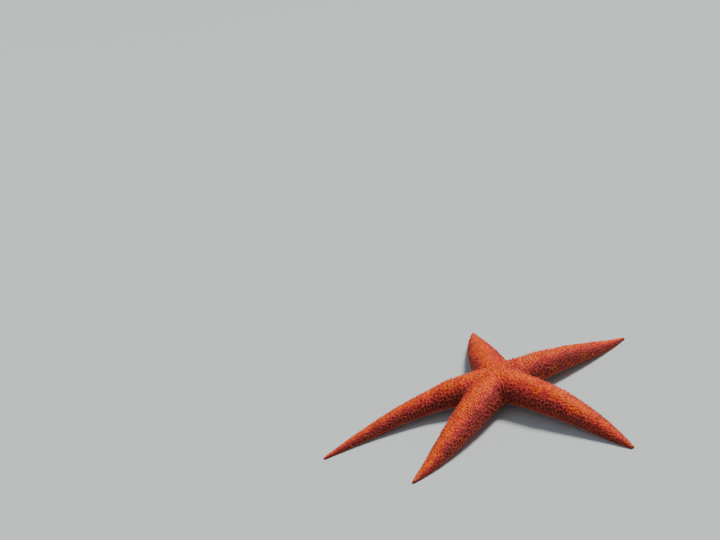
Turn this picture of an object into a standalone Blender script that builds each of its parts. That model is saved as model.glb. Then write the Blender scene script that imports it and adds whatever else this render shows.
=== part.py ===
"""A red sea star, life size, standing arched on the tips of its arms.

Metres, +Z up. The floor is z = 0, and the origin is on the floor under the middle of the bounding box.
The body is a disc and five arms. Each arm is three lengths, parted by thin flat cuts across the arm.
Local terms: s runs out from the mouth axis along an arm, the side offset is across it to the left,
and the lift is measured up from the sole, which is the underside beside the furrow.
"""

import math
import random

import bmesh
import bpy
from mathutils import Vector

MM = 0.001

# Disc and arms
ARM_HALF_WIDTH = 13.0 * MM  # of the cone that the arms follow, before it tapers
TIP_HALF_WIDTH = 1.3 * MM
TAPER_FINISH = 0.91
HEIGHT_PER_WIDTH = 0.64
MARGIN_SHARE = 0.32  # the widest level, as a share of the height
ROOF = 0.12  # how far the arch leans towards a ridge
VALLEY_POWER = 2.2  # how fast the valley between two arms rises to the middle of the disc
DISC_REACH = 31.0 * MM  # where the disc ends and each arm begins
COMMON_LENGTH = 122.0 * MM  # within the disc every arm tapers as if this long
COMMON_TAPER = 1.5
OWN_REACH = 20.0 * MM  # beyond the disc, over which an arm takes on its own length and taper
SWELL_FADE = 1.6  # how soon, in from the crotch, an arm's arch turns into a swell of the disc
CROTCH_RADIUS = 3.5 * MM  # rounding where two arms meet
SOLE_HEIGHT = 5.7 * MM  # of the disc above the floor
FOOT_LENGTH = 12.0 * MM  # of each arm that lies on the floor
LANDING = 1.25  # how softly the arm comes down to it

# Furrow and mouth
FURROW_HALF_WIDTH = 0.26  # share of the arm's half width at the mouth
FURROW_WIDENING = 0.10  # added to that share towards the tip
FURROW_LIMIT = 0.7  # of the way to the neighbouring arm's side of the disc
FURROW_ROOF = 0.45  # half width of its roof, as a share of the half width at its lips
FURROW_DEPTH = 0.38  # share of the arm's height
FURROW_FADE = 8.0 * MM  # of its depth, short of the tip
SOLE_EDGE = 0.64  # where the flat sole ends, as a share of the half width
SOLE_EDGE_LEAST = 0.35  # of the way from the lip of the furrow to the margin
SOLE_CURVE = 0.87  # where the underside's curve to the margin is steepest
SOLE_CURVE_LEAST = 0.60
SOLE_CURVE_LIFT = 0.3  # there, as a share of the margin's lift
MARGIN_START = 0.55  # of the way to the crotch, where the underside begins to rise to the margin
MOUTH_REACH = 5.6 * MM
MOUTH_DEPTH = 8.0 * MM

# Sieve plate, between two arms on the back of the disc
SIEVE_ARMS = ("arm_rear", "arm_left")
SIEVE_REACH = 11.5 * MM
SIEVE_RADIUS = 2.6 * MM
SIEVE_THICKNESS = 1.6 * MM
SIEVE_DOME = 0.6 * MM
SIEVE_SINK = 0.9 * MM  # of its middle below the skin
SIEVE_SHOULDER = (0.7, 0.25)  # share of its radius, and of its dome, where the curve turns down

# Blunt knobs of the back, in loose rows along each arm
KNOB_ROWS = (0.0, 0.40, -0.40, 0.70, -0.70)  # share of the half width
STAGGERED_ROWS = (0.40, -0.40)
KNOB_SPACING = 7.8 * MM
KNOB_RADIUS = 1.5 * MM
KNOB_HEIGHT = 1.0 * MM
KNOB_LEAST = 0.5  # size at the tip of an arm, where 1 is a whole one
KNOB_FLARE = 1.15  # of its root
KNOB_SHOULDER = (0.62, 0.75)  # share of its radius and of its height
KNOB_JITTER = 1.3 * MM  # along the arm
KNOB_DRIFT = 0.07  # across it
KNOB_APART = 0.72  # of the spacing that two knobs keep at least
KNOB_VARIETY = (0.85, 1.15)
KNOB_START = 5.0 * MM  # from the mouth axis
KNOB_END = 6.0 * MM  # short of the tip

# Tube feet, by turns on the left and the right of the furrow
FOOT_STEP = 2.8 * MM  # between one and the next at the tip of the arm
FOOT_STEP_GROWTH = 0.2  # more for each unit of the arm's half width
SUCKER_RADIUS = 1.15 * MM
SUCKER_SHARE = 0.46  # of the furrow's half width, where that is less
STALK_SHARE = 0.5  # of the sucker's radius
STALK_LEAST = 0.26 * MM
STALK_TAPER = 0.85
SUCKER_FLARE = 0.75  # length of the cone that ends in the sucker, in radii of the sucker
FOOT_ROW = 0.5  # of the furrow's half width, where each row of feet stands
FOOT_HANG = 2.0 * MM  # below the sole
FOOT_HANG_LEAST = 0.6  # of that, for the shortest
FOOT_LEAN = 0.22
FOOT_START = 9.5 * MM
FOOT_END = 4.5 * MM  # short of the tip
FLOOR_CLEARANCE = 0.5 * MM  # of a sucker that doesn't reach the floor

# Spines that fringe the furrow, and those on the five jaws round the mouth
FRINGE_SPACING = 7.0 * MM
FRINGE_RADIUS = 0.62 * MM
FRINGE_HEIGHT = 1.9 * MM
FRINGE_VARIETY = (0.85, 1.1)
FRINGE_BESIDE = 1.5  # from the lip of the furrow, in radii of a spine
FRINGE_LEAN = 0.45
FRINGE_START = 11.0 * MM
SPINE_SHOULDER = (0.55, 0.9)  # share of its radius and of its height
JAW_REACH = 8.2 * MM
JAW_SPREAD = 1.1 * MM
JAW_SPINE = 3.0 * MM
JAW_DROP = 0.75  # down, for one unit in towards the mouth

ROOT_SINK = 0.7 * MM  # of every knob, foot and spine into what it grows from
CUT_MARGIN = 0.5 * MM  # that they keep from the cuts

# Cuts between nodes
CUT_GAP = 0.3 * MM
CUT_SHARES = (0.36, 0.70)  # of the arm beyond the disc
LENGTH_NAMES = ("base", "middle", "tip")

# Resolution
ARCH_STEPS = 10  # across the upper side
DISC_ROWS = 5  # of the back, out to the crotches
SOLE_ROWS = 3  # of the underside, from the mouth out to the crotches
NECK_ROWS = 3  # from there to the arms
SIEVE_SIDES = 20
KNOB_SIDES = 5
SPINE_SIDES = 4
FOOT_SIDES = 6
ROW_LENGTH = 5.5 * MM
ROWS_LEAST = 3
TIP_RINGS = ((0.8, 0.5 * MM), (0.45, 0.9 * MM))  # size and reach of the rings that round off a tip
WELD = 0.01 * MM
PROBE = 0.5 * MM  # from a point of the back to those that give its slope
PROBE_ACROSS = 0.02
ACROSS_LIMIT = 0.999
SEED = 11

# The mouth axis stands here, which puts the origin under the middle of the bounding box
MOUTH_X = 14.85 * MM
MOUTH_Y = -11.66 * MM

# The five arms: heading and sideways turn in degrees, how late it turns, length,
# how late it comes down to the floor, and how late it tapers, where 1 would be a straight cone
ARMS = {
    "arm_right_rear": (26.7, 9.6, 1.5, 113.5 * MM, 1.8, 1.47),
    "arm_rear": (98.0, -8.0, 1.5, 123.0 * MM, 1.8, 1.50),
    "arm_left": (181.6, 30.6, 0.6, 136.0 * MM, 1.5, 1.03),
    "arm_left_front": (237.8, -11.2, 1.1, 112.5 * MM, 1.7, 1.69),
    "arm_right_front": (309.8, -12.9, 1.5, 122.3 * MM, 1.7, 1.66),
}

SKIN_COLOUR = (0.72, 0.16, 0.06, 1.0)
PLATE_COLOUR = (0.86, 0.55, 0.38, 1.0)
SKIN_ROUGHNESS = 0.55
PLATE_ROUGHNESS = 0.7


def smooth(value):
    """0 below 0, 1 above 1, and an even ease between them."""
    value = min(max(value, 0.0), 1.0)
    return value * value * (3 - 2 * value)


class Arm:
    """One arm: its route over the floor, its girth and the half gaps to its two neighbours."""

    def __init__(self, name, left_gap, right_gap):
        self.name = name
        self.heading, self.turn, self.lateness, self.length, self.drop, self.taper = ARMS[name]
        self.half_gap = {1: math.radians(left_gap / 2), -1: math.radians(right_gap / 2)}
        self.route = self.walk()
        beyond = self.length - DISC_REACH
        self.cuts = [DISC_REACH] + [DISC_REACH + beyond * share for share in CUT_SHARES]

    def sole_height(self, s):
        travel = (s - DISC_REACH) / (self.length - FOOT_LENGTH - DISC_REACH)
        travel = min(max(travel, 0.0), 1.0)
        return SOLE_HEIGHT * (1 - travel**self.drop) ** LANDING

    def direction(self, s):
        bend = min(max((s - DISC_REACH) / (self.length - DISC_REACH), 0.0), 1.0)
        angle = math.radians(self.heading + self.turn * bend**self.lateness)
        return Vector((math.cos(angle), math.sin(angle), 0))

    def walk(self):
        """Points of the route a millimetre apart, from the mouth axis to past the tip."""
        points = [Vector((MOUTH_X, MOUTH_Y, SOLE_HEIGHT))]
        steps = int(self.length / MM) + 4
        for i in range(steps):
            fall = self.sole_height((i + 1) * MM) - self.sole_height(i * MM)
            level = math.sqrt(max(MM * MM - fall * fall, 0.0))
            step = self.direction((i + 0.5) * MM) * level
            points.append(points[-1] + step + Vector((0, 0, fall)))
        return points

    def frame(self, s):
        """(point on the sole line, forward, left, up) at the distance s along the arm."""
        place = max(s / MM, 0.0)
        i = min(int(place), len(self.route) - 2)
        point = self.route[i].lerp(self.route[i + 1], place - i)
        level = self.direction(s)
        slope = (self.sole_height(s + MM) - self.sole_height(max(s - MM, 0.0))) / (2 * MM)
        forward = Vector((level.x, level.y, slope)).normalized()
        left = Vector((-level.y, level.x, 0))
        return point, forward, left, forward.cross(left)

    def half_width(self, s):
        own = smooth((s - DISC_REACH) / OWN_REACH)
        length = COMMON_LENGTH + (self.length - COMMON_LENGTH) * own
        taper = COMMON_TAPER + (self.taper - COMMON_TAPER) * own
        share = min(s / length, 1.0)
        return ARM_HALF_WIDTH * (1 - share**taper) ** TAPER_FINISH + TIP_HALF_WIDTH

    def crotch(self, side):
        """Where along the arm the gap to the neighbour on that side opens, and where its rounding ends."""
        half_gap = self.half_gap[side]
        centre = (self.half_width(DISC_REACH) + CROTCH_RADIUS) / math.sin(half_gap)
        return (centre - CROTCH_RADIUS) * math.cos(half_gap), centre * math.cos(half_gap)

    def edge(self, s, side):
        """The side offset of the outline, or of the line midway to the neighbour within the disc."""
        opens, ends = self.crotch(side)
        if s <= opens:
            return s * math.tan(self.half_gap[side])
        if s >= ends:
            return self.half_width(s)
        # The fillet springs from the width that the arms share at the end of the disc.
        blend = smooth((s - opens) / (ends - opens))
        width = self.half_width(DISC_REACH) * (1 - blend) + self.half_width(s) * blend
        return width + CROTCH_RADIUS - math.sqrt(CROTCH_RADIUS**2 - (ends - s) ** 2)

    def height(self, s):
        return 2 * self.half_width(s) * HEIGHT_PER_WIDTH

    def arch_lift(self, s, across):
        """Lift of the upper side. across runs from -1 at the right edge to 1 at the left one."""
        side = 1 if across > 0 else -1
        opens, _ = self.crotch(side)
        height = self.height(s)
        margin = MARGIN_SHARE * height
        inward = max(1 - s / opens, 0.0)
        valley = margin + (height - margin) * math.sqrt(1 - (1 - inward) ** VALLEY_POWER)
        bow = math.sqrt(max(1 - across * across, 0.0))
        bow *= 1 - ROOF * (1 - bow)
        swell = 0.5 + 0.5 * math.cos(math.pi * across)
        blend = smooth(SWELL_FADE * inward)
        return valley + (height - valley) * (bow * (1 - blend) + swell * blend)

    def lip(self, s, side):
        """Half width of the furrow on that side."""
        share = FURROW_HALF_WIDTH + FURROW_WIDENING * (s / self.length) ** 2
        return min(share * self.half_width(s), FURROW_LIMIT * self.edge(s, side))

    def furrow_depth(self, s):
        return FURROW_DEPTH * self.height(s) * smooth((self.length - s) / FURROW_FADE)

    def sole_profile(self, s, side):
        """(side offset, lift) from the margin to the furrow's roof, on one side."""
        edge = self.edge(s, side)
        width = min(self.half_width(s), edge)
        height = self.height(s)
        opens, _ = self.crotch(side)
        margin = MARGIN_SHARE * height * smooth((s / opens - MARGIN_START) / (1 - MARGIN_START))
        lip = self.lip(s, side)
        depth = self.furrow_depth(s)
        roof = FURROW_ROOF * lip
        outer = max(edge - (1 - SOLE_CURVE) * width, lip + SOLE_CURVE_LEAST * (edge - lip))
        inner = max(edge - (1 - SOLE_EDGE) * width, lip + SOLE_EDGE_LEAST * (edge - lip))
        return [(edge, margin), (outer, SOLE_CURVE_LIFT * margin), (inner, 0.0), (lip, 0.0), (roof, depth)]

    def place(self, s, offset, lift):
        point, _, left, up = self.frame(s)
        return point + left * offset + up * lift

    def ring(self, s):
        """One closed loop round the arm, from the right margin over the back to the left margin and under."""
        loop = []
        for k in range(ARCH_STEPS + 1):
            across = -math.cos(math.pi * k / ARCH_STEPS)
            edge = self.edge(s, 1 if across > 0 else -1)
            loop.append(self.place(s, across * edge, self.arch_lift(s, across)))
        for offset, lift in self.sole_profile(s, 1)[1:]:
            loop.append(self.place(s, offset, lift))
        for offset, lift in reversed(self.sole_profile(s, -1)[1:]):
            loop.append(self.place(s, -offset, lift))
        return loop

    def back_point(self, s, across):
        """A point of the back, and the direction that stands out of it."""
        def at(place, share):
            edge = self.edge(place, 1 if share > 0 else -1)
            return self.place(place, share * edge, self.arch_lift(place, share))

        along = at(s + PROBE, across) - at(s - PROBE, across)
        left = min(across + PROBE_ACROSS, ACROSS_LIMIT)
        right = max(across - PROBE_ACROSS, -ACROSS_LIMIT)
        return at(s, across), along.cross(at(s, left) - at(s, right)).normalized()


def material(name, colour, roughness):
    made = bpy.data.materials.new(name)
    made.use_nodes = True
    shader = made.node_tree.nodes["Principled BSDF"]
    shader.inputs["Base Color"].default_value = colour
    shader.inputs["Roughness"].default_value = roughness
    return made


def node(name, bm, finish):
    """The bmesh as a named object, its faces pointing out."""
    bmesh.ops.remove_doubles(bm, verts=bm.verts, dist=WELD)
    bmesh.ops.recalc_face_normals(bm, faces=bm.faces)
    mesh = bpy.data.meshes.new(name)
    bm.to_mesh(mesh)
    bm.free()
    mesh.shade_smooth()
    mesh.materials.append(finish)
    made = bpy.data.objects.new(name, mesh)
    bpy.context.scene.collection.objects.link(made)
    return made


def arm_length_node(arm, name, start, end, finish, closed_tip):
    """One length of an arm: rings from start to end, with a flat cap at each cut."""
    rows = max(int(round((end - start) / ROW_LENGTH)), ROWS_LEAST)
    places = [start + (end - start) * i / rows for i in range(rows + 1)]
    rings = [arm.ring(s) for s in places]
    if closed_tip:
        last = rings[-1]
        centre = sum(last, Vector()) / len(last)
        _, forward, _, _ = arm.frame(end)
        for shrink, out in TIP_RINGS:
            ring = [centre + (p - centre) * shrink + forward * out for p in last]
            floor = min(p.z for p in last)
            rings.append([Vector((p.x, p.y, max(p.z, floor))) for p in ring])
    bm = bmesh.new()
    loops = [[bm.verts.new(p) for p in ring] for ring in rings]
    for near, far in zip(loops, loops[1:]):
        count = len(near)
        for k in range(count):
            after = (k + 1) % count
            bm.faces.new((near[k], near[after], far[after], far[k]))
    bm.faces.new(loops[0])
    bm.faces.new(loops[-1])
    return node(name, bm, finish)


def disc_node(arms, finish):
    """The disc: one sector for each arm, welded along the lines midway between arms."""
    bm = bmesh.new()
    arch = [-math.cos(math.pi * k / ARCH_STEPS) for k in range(ARCH_STEPS + 1)]

    def row_place(arm, share, across):
        """s of a row. Row share 1 runs through the crotch on both sides, and 2 is the flat cut."""
        right, left = arm.crotch(-1)[0], arm.crotch(1)[0]
        opens = right + (left - right) * (across + 1) / 2
        if share <= 1:
            return share * opens
        return opens + (DISC_REACH - opens) * (share - 1)

    def sole_steps(arm, side):
        """s of each row of the underside on that side, from the mouth to the flat cut."""
        opens = arm.crotch(side)[0]
        steps = [MOUTH_REACH + (opens - MOUTH_REACH) * i / SOLE_ROWS for i in range(SOLE_ROWS)]
        return steps + [opens + (DISC_REACH - opens) * i / NECK_ROWS for i in range(NECK_ROWS + 1)]

    def skin(rows):
        for near, far in zip(rows, rows[1:]):
            for k in range(len(near) - 1):
                corners = []
                for vert in (near[k], near[k + 1], far[k + 1], far[k]):
                    if vert not in corners:
                        corners.append(vert)
                bm.faces.new(corners)

    for arm in arms:
        # Upper side, from the middle of the disc outwards
        shares = [i / DISC_ROWS for i in range(1, DISC_ROWS + 1)]
        shares += [1 + i / NECK_ROWS for i in range(1, NECK_ROWS + 1)]
        top = []
        for share in shares:
            row = []
            for across in arch:
                side = 1 if across > 0 else -1
                s = row_place(arm, share, across)
                row.append(bm.verts.new(arm.place(s, across * arm.edge(s, side), arm.arch_lift(s, across))))
            top.append(row)
        crown = bm.verts.new(arm.place(0, 0, arm.height(0)))
        for k in range(len(arch) - 1):
            bm.faces.new((crown, top[0][k], top[0][k + 1]))
        skin(top)

        # Underside, from the mouth outwards
        under = []
        for left_s, right_s in zip(sole_steps(arm, 1), sole_steps(arm, -1)):
            left_half = arm.sole_profile(left_s, 1)
            right_half = arm.sole_profile(right_s, -1)
            row = []
            for i, (offset, lift) in enumerate(left_half):
                place = left_s + (right_s - left_s) * 0.5 * i / (len(left_half) - 0.5)
                row.append(bm.verts.new(arm.place(place, offset, lift)))
            for i, (offset, lift) in reversed(list(enumerate(right_half))):
                place = right_s + (left_s - right_s) * 0.5 * i / (len(right_half) - 0.5)
                row.append(bm.verts.new(arm.place(place, -offset, lift)))
            under.append(row)
        skin(under)

        # Mouth: its wall rises from the first row to a shallow roof
        roof_height = SOLE_HEIGHT + MOUTH_DEPTH
        wall = [bm.verts.new((v.co.x, v.co.y, roof_height)) for v in under[0]]
        skin([under[0], wall])
        roof = bm.verts.new((MOUTH_X, MOUTH_Y, roof_height))
        for k in range(len(wall) - 1):
            bm.faces.new((roof, wall[k], wall[k + 1]))

        # Flat end towards the arm
        bm.faces.new(top[-1] + under[-1][1:-1])
    return node("disc", bm, finish)


def sieve_seat(arms):
    """Where the sieve plate sits: (point of the skin, direction out of it, the way away from the mouth)."""
    first, second = (next(a for a in arms if a.name == n) for n in SIEVE_ARMS)
    angle = math.radians((first.heading + second.heading) / 2)
    away = Vector((math.cos(angle), math.sin(angle), 0))

    def skin_height(reach):
        s = reach * math.cos(first.half_gap[1])
        return SOLE_HEIGHT + first.arch_lift(s, 1.0)

    middle = Vector((MOUTH_X, MOUTH_Y, 0)) + away * SIEVE_REACH
    middle.z = skin_height(SIEVE_REACH)
    slope = (skin_height(SIEVE_REACH + MM) - skin_height(SIEVE_REACH - MM)) / (2 * MM)
    run = (away + Vector((0, 0, slope))).normalized()
    side = Vector((-away.y, away.x, 0))
    return middle, run.cross(side), run


def turned(name, profile, seat, sides, finish):
    """A round solid from (radius, height) points, standing on the seat. Its ends have radius 0."""
    point, out, run = seat
    side = out.cross(run)
    bm = bmesh.new()
    rings = []
    for radius, height in profile:
        if radius == 0:
            rings.append([bm.verts.new(point + out * height)] * sides)
            continue
        ring = []
        for k in range(sides):
            angle = 2 * math.pi * k / sides
            spoke = run * math.cos(angle) + side * math.sin(angle)
            ring.append(bm.verts.new(point + out * height + spoke * radius))
        rings.append(ring)
    for low, high in zip(rings, rings[1:]):
        for k in range(sides):
            corners = []
            for vert in (low[k], low[(k + 1) % sides], high[(k + 1) % sides], high[k]):
                if vert not in corners:
                    corners.append(vert)
            bm.faces.new(corners)
    return node(name, bm, finish)


def sieve_plate(arms, disc, finish):
    """The sieve plate as a node of its own, in a round seat that is cut into the disc."""
    seat = sieve_seat(arms)
    foot = -SIEVE_SINK - SIEVE_THICKNESS / 2
    top = foot + SIEVE_THICKNESS
    shoulder, fall = SIEVE_SHOULDER
    plate_profile = [
        (0, foot),
        (SIEVE_RADIUS, foot),
        (SIEVE_RADIUS, top - SIEVE_DOME),
        (shoulder * SIEVE_RADIUS, top - fall * SIEVE_DOME),
        (0, top),
    ]
    plate = turned("madreporite", plate_profile, seat, SIEVE_SIDES, finish)
    wall = SIEVE_RADIUS + CUT_GAP
    floor = foot - CUT_GAP
    seat_profile = [(0, floor), (wall, floor), (wall, SIEVE_RADIUS), (0, SIEVE_RADIUS)]
    cutter = turned("seat", seat_profile, seat, SIEVE_SIDES, finish)
    cut = disc.modifiers.new("seat", "BOOLEAN")
    cut.operation = "DIFFERENCE"
    cut.object = cutter
    cutter.hide_render = True
    cutter.display_type = "WIRE"
    return plate


def seat_on(point, out):
    """A seat at the point, facing out, turned any way round."""
    guide = Vector((0, 0, 1)) if abs(out.z) < 0.8 else Vector((1, 0, 0))
    run = out.cross(guide).normalized()
    return point, out.normalized(), run


def knob(seat, size, finish):
    radius = KNOB_RADIUS * size
    height = KNOB_HEIGHT * size
    shoulder = (KNOB_SHOULDER[0] * radius, KNOB_SHOULDER[1] * height)
    profile = [(0, -ROOT_SINK), (KNOB_FLARE * radius, -ROOT_SINK), shoulder, (0, height)]
    return turned("knob", profile, seat, KNOB_SIDES, finish)


def spine(seat, radius, height, finish):
    shoulder = (SPINE_SHOULDER[0] * radius, SPINE_SHOULDER[1] * height)
    profile = [(0, -ROOT_SINK), (radius, -ROOT_SINK), shoulder, (0, height)]
    return turned("spine", profile, seat, SPINE_SIDES, finish)


def tube_foot(seat, sucker, length, finish):
    """A stalk that ends in a flat sucker. The seat is its root, and the sucker's face is at the length."""
    stalk = max(STALK_SHARE * sucker, STALK_LEAST)
    neck = (STALK_TAPER * stalk, length - SUCKER_FLARE * sucker)
    profile = [(0, 0), (stalk, 0), neck, (sucker, length), (0, length)]
    return turned("foot", profile, seat, FOOT_SIDES, finish)


def clear_of_cuts(arm, s, radius):
    return all(abs(s - cut - CUT_GAP / 2) > radius + CUT_MARGIN for cut in arm.cuts)


def knobs_of(arms, sieve_point, draw, finish):
    """(arm, s, knob) for the knobs of the whole back, kept apart from each other and from the sieve plate."""
    taken = [sieve_point]
    found = []
    for arm in arms:
        s = KNOB_START
        while s < arm.length - KNOB_END:
            size = KNOB_LEAST + (1 - KNOB_LEAST) * arm.half_width(s) / ARM_HALF_WIDTH
            for row in KNOB_ROWS:
                across = row + draw.uniform(-KNOB_DRIFT, KNOB_DRIFT)
                place = s + draw.uniform(-KNOB_JITTER, KNOB_JITTER)
                if row in STAGGERED_ROWS:
                    place += KNOB_SPACING / 2
                point, out = arm.back_point(place, across)
                apart = all((point - other).length > KNOB_APART * KNOB_SPACING * size for other in taken)
                if apart and clear_of_cuts(arm, place, KNOB_RADIUS * size):
                    taken.append(point)
                    varied = size * draw.uniform(*KNOB_VARIETY)
                    found.append((arm, place, knob(seat_on(point, out), varied, finish)))
            s += KNOB_SPACING * size
    return found


def feet_of(arm, draw, finish):
    """(s, foot) for the tube feet of one arm, by turns on its left and its right."""
    found = []
    side = 1
    s = FOOT_START
    while s < arm.length - FOOT_END:
        side = -side
        lip = arm.lip(s, side)
        sucker = min(SUCKER_RADIUS, SUCKER_SHARE * lip)
        if clear_of_cuts(arm, s, sucker + FOOT_LEAN * FOOT_HANG):
            depth = arm.furrow_depth(s)
            root = arm.place(s, side * FOOT_ROW * lip, depth + ROOT_SINK)
            sole = arm.place(s, side * FOOT_ROW * lip, 0)
            level = sole.z - FOOT_HANG * draw.uniform(FOOT_HANG_LEAST, 1.0)
            out = Vector((0, 0, -1))
            if level > FLOOR_CLEARANCE:
                _, forward, left, _ = arm.frame(s)
                out += forward * draw.uniform(-FOOT_LEAN, FOOT_LEAN)
                out += left * side * draw.uniform(0, FOOT_LEAN)
                out.normalize()
            else:
                level = 0.0
            length = (root.z - level) / -out.z
            found.append((s, tube_foot(seat_on(root, out), sucker, length, finish)))
        s += FOOT_STEP + FOOT_STEP_GROWTH * arm.half_width(s)
    return found


def fringe_of(arm, draw, finish):
    """(s, spine) for the spines beside the furrow, as far out as the sole stands clear of the floor."""
    found = []
    for side in (1, -1):
        s = FRINGE_START + (FRINGE_SPACING / 2 if side < 0 else 0)
        while s < arm.length:
            root = arm.place(s, side * (arm.lip(s, side) + FRINGE_BESIDE * FRINGE_RADIUS), 0)
            height = min(FRINGE_HEIGHT * draw.uniform(*FRINGE_VARIETY), root.z - FLOOR_CLEARANCE)
            if height < FRINGE_RADIUS:
                break
            if clear_of_cuts(arm, s, FRINGE_RADIUS):
                _, _, left, up = arm.frame(s)
                out = left * side * FRINGE_LEAN - up
                found.append((s, spine(seat_on(root, out), FRINGE_RADIUS, height, finish)))
            s += FRINGE_SPACING
    return found


def jaw_spines(arms, finish):
    """Two spines on the jaw between each two arms, pointing in over the mouth."""
    found = []
    for arm in arms:
        angle = math.radians(arm.heading) + arm.half_gap[1]
        away = Vector((math.cos(angle), math.sin(angle), 0))
        aside = Vector((-away.y, away.x, 0))
        for side in (1, -1):
            root = Vector((MOUTH_X, MOUTH_Y, SOLE_HEIGHT)) + away * JAW_REACH + aside * side * JAW_SPREAD
            out = (-away - Vector((0, 0, JAW_DROP))).normalized()
            found.append(spine(seat_on(root, out), FRINGE_RADIUS, JAW_SPINE, finish))
    return found


def fuse(body, pieces):
    """Join the pieces to the body, and keep its one largest closed surface."""
    group = bpy.data.collections.new("pieces")
    bpy.context.scene.collection.children.link(group)
    for piece in pieces:
        group.objects.link(piece)
    join = body.modifiers.new("join", "BOOLEAN")
    join.operation = "UNION"
    join.operand_type = "COLLECTION"
    join.collection = group
    join.solver = "EXACT"
    graph = bpy.context.evaluated_depsgraph_get()
    mesh = bpy.data.meshes.new_from_object(body.evaluated_get(graph))
    body.modifiers.remove(join)
    body.data = mesh
    for piece in pieces:
        bpy.data.objects.remove(piece)
    bpy.data.collections.remove(group)
    keep_largest(body)


def keep_largest(body):
    bm = bmesh.new()
    bm.from_mesh(body.data)
    left_over = set(bm.faces)
    shells = []
    while left_over:
        shell = set()
        border = [left_over.pop()]
        while border:
            face = border.pop()
            shell.add(face)
            for edge in face.edges:
                for other in edge.link_faces:
                    if other in left_over:
                        left_over.remove(other)
                        border.append(other)
        shells.append(shell)
    largest = max(shells, key=len)
    scraps = [face for shell in shells if shell is not largest for face in shell]
    bmesh.ops.delete(bm, geom=scraps, context="FACES")
    bm.to_mesh(body.data)
    bm.free()


def build():
    for obj in list(bpy.data.objects):
        bpy.data.objects.remove(obj)
    skin = material("skin", SKIN_COLOUR, SKIN_ROUGHNESS)
    names = list(ARMS)
    headings = [ARMS[n][0] for n in names]
    arms = []
    for i, name in enumerate(names):
        left_gap = (headings[(i + 1) % len(names)] - headings[i]) % 360
        right_gap = (headings[i] - headings[i - 1]) % 360
        arms.append(Arm(name, left_gap, right_gap))
    draw = random.Random(SEED)
    knobs = knobs_of(arms, sieve_seat(arms)[0], draw, skin)
    disc = disc_node(arms, skin)
    on_disc = [piece for _, s, piece in knobs if s < DISC_REACH] + jaw_spines(arms, skin)
    for arm in arms:
        grown = [(s, piece) for owner, s, piece in knobs if owner is arm and s > DISC_REACH]
        underside = feet_of(arm, draw, skin) + fringe_of(arm, draw, skin)
        on_disc += [piece for s, piece in underside if s < DISC_REACH]
        grown += [(s, piece) for s, piece in underside if s > DISC_REACH]
        ends = arm.cuts[1:] + [arm.length]
        for i, label in enumerate(LENGTH_NAMES):
            start, end = arm.cuts[i], ends[i]
            tip = label == LENGTH_NAMES[-1]
            length = arm_length_node(arm, f"{arm.name}_{label}", start + CUT_GAP, end, skin, tip)
            fuse(length, [piece for s, piece in grown if start < s < end])
    fuse(disc, on_disc)
    sieve_plate(arms, disc, material("plate", PLATE_COLOUR, PLATE_ROUGHNESS))


build()
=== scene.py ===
import math

import bmesh
import bpy
import numpy as np
from mathutils import Matrix, Vector, kdtree, noise


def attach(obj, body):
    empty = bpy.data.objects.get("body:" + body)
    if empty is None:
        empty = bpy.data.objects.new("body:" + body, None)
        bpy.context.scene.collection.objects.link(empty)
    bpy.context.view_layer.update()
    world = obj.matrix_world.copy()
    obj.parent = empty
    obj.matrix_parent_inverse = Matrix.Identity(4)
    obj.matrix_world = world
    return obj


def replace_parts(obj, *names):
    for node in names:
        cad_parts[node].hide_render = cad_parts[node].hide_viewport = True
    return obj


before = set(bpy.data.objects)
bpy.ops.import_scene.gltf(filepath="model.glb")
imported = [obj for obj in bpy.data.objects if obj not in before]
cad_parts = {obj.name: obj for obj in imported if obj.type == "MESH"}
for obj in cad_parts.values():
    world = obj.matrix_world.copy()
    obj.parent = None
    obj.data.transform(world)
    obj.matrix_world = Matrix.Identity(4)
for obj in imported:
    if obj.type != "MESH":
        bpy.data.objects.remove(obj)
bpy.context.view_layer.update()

# The skin: one soft, leathery hide over a net of small chalky rods. It runs without a seam from the crown of
# the disc to the five tips, round the margins and up into the furrow under each arm, as one closed shell.
# Between the rods it sinks into small pits, where the gills come out.
MM = 0.001
MOUTH_X = 14.85 * MM
MOUTH_Y = -11.66 * MM
ARM_HALF_WIDTH = 13.0 * MM  # of the cone that the arms follow, before it tapers
TIP_HALF_WIDTH = 1.3 * MM
TAPER_FINISH = 0.91
HEIGHT_PER_WIDTH = 0.64
MARGIN_SHARE = 0.32  # the widest level, as a share of the height
ROOF = 0.12  # how far the arch leans towards a ridge
VALLEY_POWER = 2.2
DISC_REACH = 31.0 * MM
COMMON_LENGTH = 122.0 * MM  # within the disc every arm tapers as if this long
COMMON_TAPER = 1.5
OWN_REACH = 20.0 * MM  # beyond the disc, over which an arm takes on its own length and taper
SWELL_FADE = 1.6  # how soon, in from the crotch, an arm's arch turns into a swell of the disc
CROTCH_RADIUS = 3.5 * MM
SOLE_HEIGHT = 5.7 * MM
FOOT_LENGTH = 12.0 * MM  # of each arm that lies on the floor
LANDING = 1.25
FURROW_HALF_WIDTH = 0.26  # share of the arm's half width at the mouth
FURROW_WIDENING = 0.10
FURROW_LIMIT = 0.7
FURROW_ROOF = 0.45
FURROW_DEPTH = 0.38  # share of the arm's height
FURROW_FADE = 8.0 * MM  # of its depth, short of the tip
FURROW_CROWN = 0.06  # how far its roof arches, as a share of its depth
RIB_HEIGHT = 0.16 * MM  # of the small plates in the furrow's walls
RIB_STEP = 2.0 * MM
SOLE_SWELL = 0.35 * MM  # of the cushions on each side of the furrow
CUSHION_FADE = 2 * MM  # height over the floor below which they flatten
SOLE_CURVE = 0.38  # share of the half width over which the underside curves up to the margin
SOLE_CURVE_LIMIT = 0.65  # and at most of the way from the lip of the furrow to the margin
MARGIN_START = 0.55  # of the way to the crotch, where the underside begins to rise to the margin
MOUTH_REACH = 5.6 * MM
MOUTH_DEPTH = 7.6 * MM
TIP_ROUND = 0.85 * MM
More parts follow.
